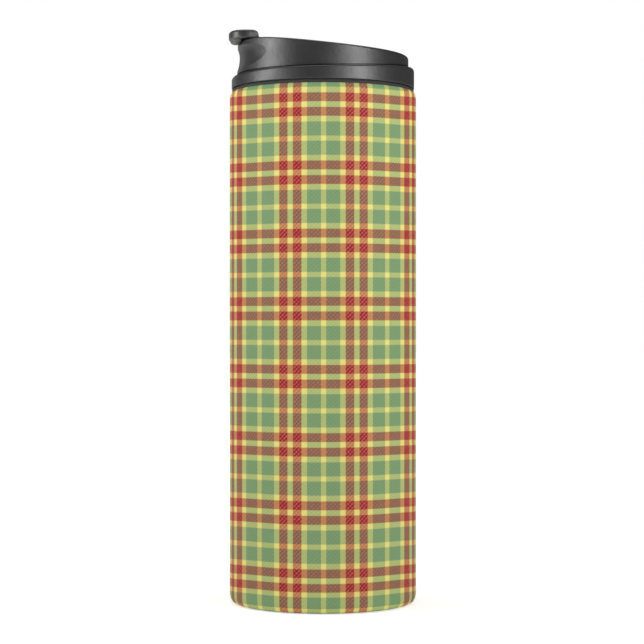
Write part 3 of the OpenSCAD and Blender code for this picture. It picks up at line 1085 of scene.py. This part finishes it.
TAB_HALF = 7.0 * MM
TAB_CORNER = 6.0 * MM
TAB_LOW = LID_FOOT + 17.3 * MM
TAB_BACK = -26.3 * MM
NOSE_HALF = 4.6 * MM
NOSE_CORNER = 4.0 * MM
NOSE_LOW = LID_FOOT + 15.6 * MM
NOSE_BACK = -32.15 * MM
NOSE_SUNK = 1.2 * MM         # how far the nose starts below the tab's top
ARM_HALF = 7.5 * MM
ARM_FRONT = -27.0 * MM
ARM_LOW = BOSS_Z + 0.15 * MM
ARM_TOP = LID_FOOT + 16.6 * MM
ARM_UNDER = ARM_LOW + 1.9 * MM
ARM_ROOF = ARM_TOP - 1.0 * MM     # the ribs under the arm end inside it, at this height
HUB_R = 2.6 * MM
HUB_BORE = 1.3 * MM
PIN_CLEAR = HUB_BORE + 0.3 * MM   # the arm stays this far from the pin's axis
SKIRT = 1.2 * MM
RIB = 1.6 * MM
RIB_X = -15.4 * MM


def pad_outline(tip, half, corner, back, inset, z):
    """A level outline with a round front, cut straight at the back."""
    r = corner - inset
    middle = tip + corner
    start = 90 if back > middle else degrees(acos((back - middle) / r))
    front = arc((middle, half - corner), r, start, 180, 12)
    front += arc((middle, corner - half), r, 180, 360 - start, 12)
    if back > middle:
        front += [(back, inset - half), (back, half - inset)]
    return [(x, y, z) for x, y in front]


def add_tab(bm):
    """The tab's flat plate, with its upper edge rounded."""
    tip = cap_low.x
    top = cap_high.z
    foot = 0.3 * MM
    soft = 1.0 * MM
    rear = 2.1 * MM
    rows = [(foot, TAB_LOW), (0.0, TAB_LOW + foot), (0.0, top - rear)]
    rows += [(0.0, top - rear + (rear - soft) * i / 3) for i in (1, 2)]
    rows += [(soft - inset, z) for inset, z in arc((0, top - soft), soft, 0, 90, 6)]
    loops = []
    for inset, z in rows:
        over = max(z - (top - rear), 0.0)
        cut = rear - sqrt(rear * rear - over * over)
        loops.append(pad_outline(tip, TAB_HALF, TAB_CORNER, TAB_BACK - cut, inset, z))
    capped_loft(bm, loops)


def add_nose(bm):
    """The tab's downturned nose: it leans back a little, and is rounded below and to its sides."""
    tip = cap_low.x
    high = cap_high.z - NOSE_SUNK
    soft = 1.5 * MM
    lean = 0.35 * MM
    top_inset = 0.1 * MM
    belly = 20 * MM
    rows = [(lean + soft - inset, z) for inset, z in arc((0, NOSE_LOW + soft), soft, -90, 0, 6)]
    rows.append((top_inset, high))
    loops = []
    for inset, z in rows:
        share = (high - z) / (high - NOSE_LOW)
        outline = pad_outline(tip, NOSE_HALF, NOSE_CORNER, NOSE_BACK, inset, z)
        loops.append([(x, y, z + share * y * y / (2 * belly)) for x, y, z in outline])
    rings = loft(bm, loops, closed=False)
    for ring in (rings[0], rings[-1]):
        fill(bm, [ring])


def upright(x0, x1, low, high):
    """A rectangle's outline in X and Z."""
    return [(x0, low), (x0, high), (x1, high), (x1, low)]


def add_arm(bm):
    """The arm's plate, with a skirt down each side, a wall at its front and a rib across it."""
    step = 0.6 * MM
    inside = 0.1 * MM
    hinge_top = HINGE.z + PIN_CLEAR
    wall_end = HINGE.x - PIN_CLEAR - 0.1 * MM
    prism(bm, [(HINGE.x, ARM_TOP - SKIRT), (TAB_BACK + 3 * MM, ARM_TOP), (TAB_BACK, TAB_LOW + step),
               (ARM_FRONT, TAB_LOW + step), (ARM_FRONT, ARM_UNDER), (HINGE.x - HUB_R, ARM_UNDER),
               (HINGE.x - PIN_CLEAR, hinge_top), (HINGE.x, hinge_top)], -ARM_HALF, ARM_HALF)
    skirt = [(wall_end, ARM_LOW), (wall_end, ARM_TOP - 1.8 * MM), (ARM_FRONT + inside, ARM_ROOF),
             (ARM_FRONT + inside, ARM_LOW)]
    for side in (-1, 1):
        y0, y1 = sorted((side * (ARM_HALF - SKIRT), side * ARM_HALF))
        prism(bm, skirt, y0, y1)
    prism(bm, upright(ARM_FRONT, ARM_FRONT + RIB, ARM_LOW, ARM_ROOF), -ARM_HALF, ARM_HALF)
    rib_half = ARM_HALF - 0.3 * MM
    prism(bm, upright(RIB_X, RIB_X + RIB, ARM_LOW + 0.2 * MM, ARM_ROOF), -rib_half, rib_half)


def make_cap():
    """The flip cap: an arm on the hinge pin, a raised thumb tab and a downturned lip."""
    bm = bmesh.new()
    add_tab(bm)
    add_nose(bm)
    add_arm(bm)
    prism(bm, round_hinge(HUB_R), -ARM_HALF, ARM_HALF, holes=[round_hinge(HUB_BORE)])
    piece = finish_mesh(bm, "flip_lever")
    voxel = 0.26 * MM
    apply_modifiers(piece, [("REMESH", {"mode": "VOXEL", "voxel_size": voxel, "adaptivity": 0.0}),
                            ("SMOOTH", {"factor": 0.5, "iterations": 9})])
    piece.data.shade_smooth()
    place(piece, "cap", "cap_plastic", cap_black, "flip_cap")


make_cap()


def make_stopper():
    """The silicone stopper under the cap: a flat pad and a rounded nub."""
    bm = bmesh.new()
    x0, x1 = stopper_low.x, stopper_high.x
    half = stopper_high.y
    low = BOSS_Z + 0.1 * MM
    high = stopper_high.z
    soft = 0.3 * MM
    nub = 0.5 * MM
    nub_deep = 1.5 * MM
    reach = HOLE_REACH - 0.3 * MM
    prism(bm, [(x0, low), (x1, low), (x1, high), (x0, high)], -half, half, round_off=soft)
    outline = [(reach, soft)] + arc((reach - nub, nub - nub_deep), nub, 0, -90, 5)
    capped_loft(bm, [stadium(d, HOLE_CORE, -HOLE_X, low + z) for d, z in outline])
    place(finish_mesh(bm, "spout_stopper"), "cap", "seal_silicone", seal_rubber, "drink_stopper")


make_stopper()

# ---------------------------------------------------------------- CAD nodes that keep their shape

NODE_LOOKS = {
    "heat_shield": foil, "base_disc": steel, "getter": pellet, "getter_clip": steel, "seal_bead": bead,
    "collar_seal": seal_rubber, "spout_seal": seal_rubber, "hinge_pin": steel, "vent_stopper": seal_rubber,
}
for node_name, look in NODE_LOOKS.items():
    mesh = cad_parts[node_name].data
    mesh.materials.clear()
    mesh.materials.append(look)
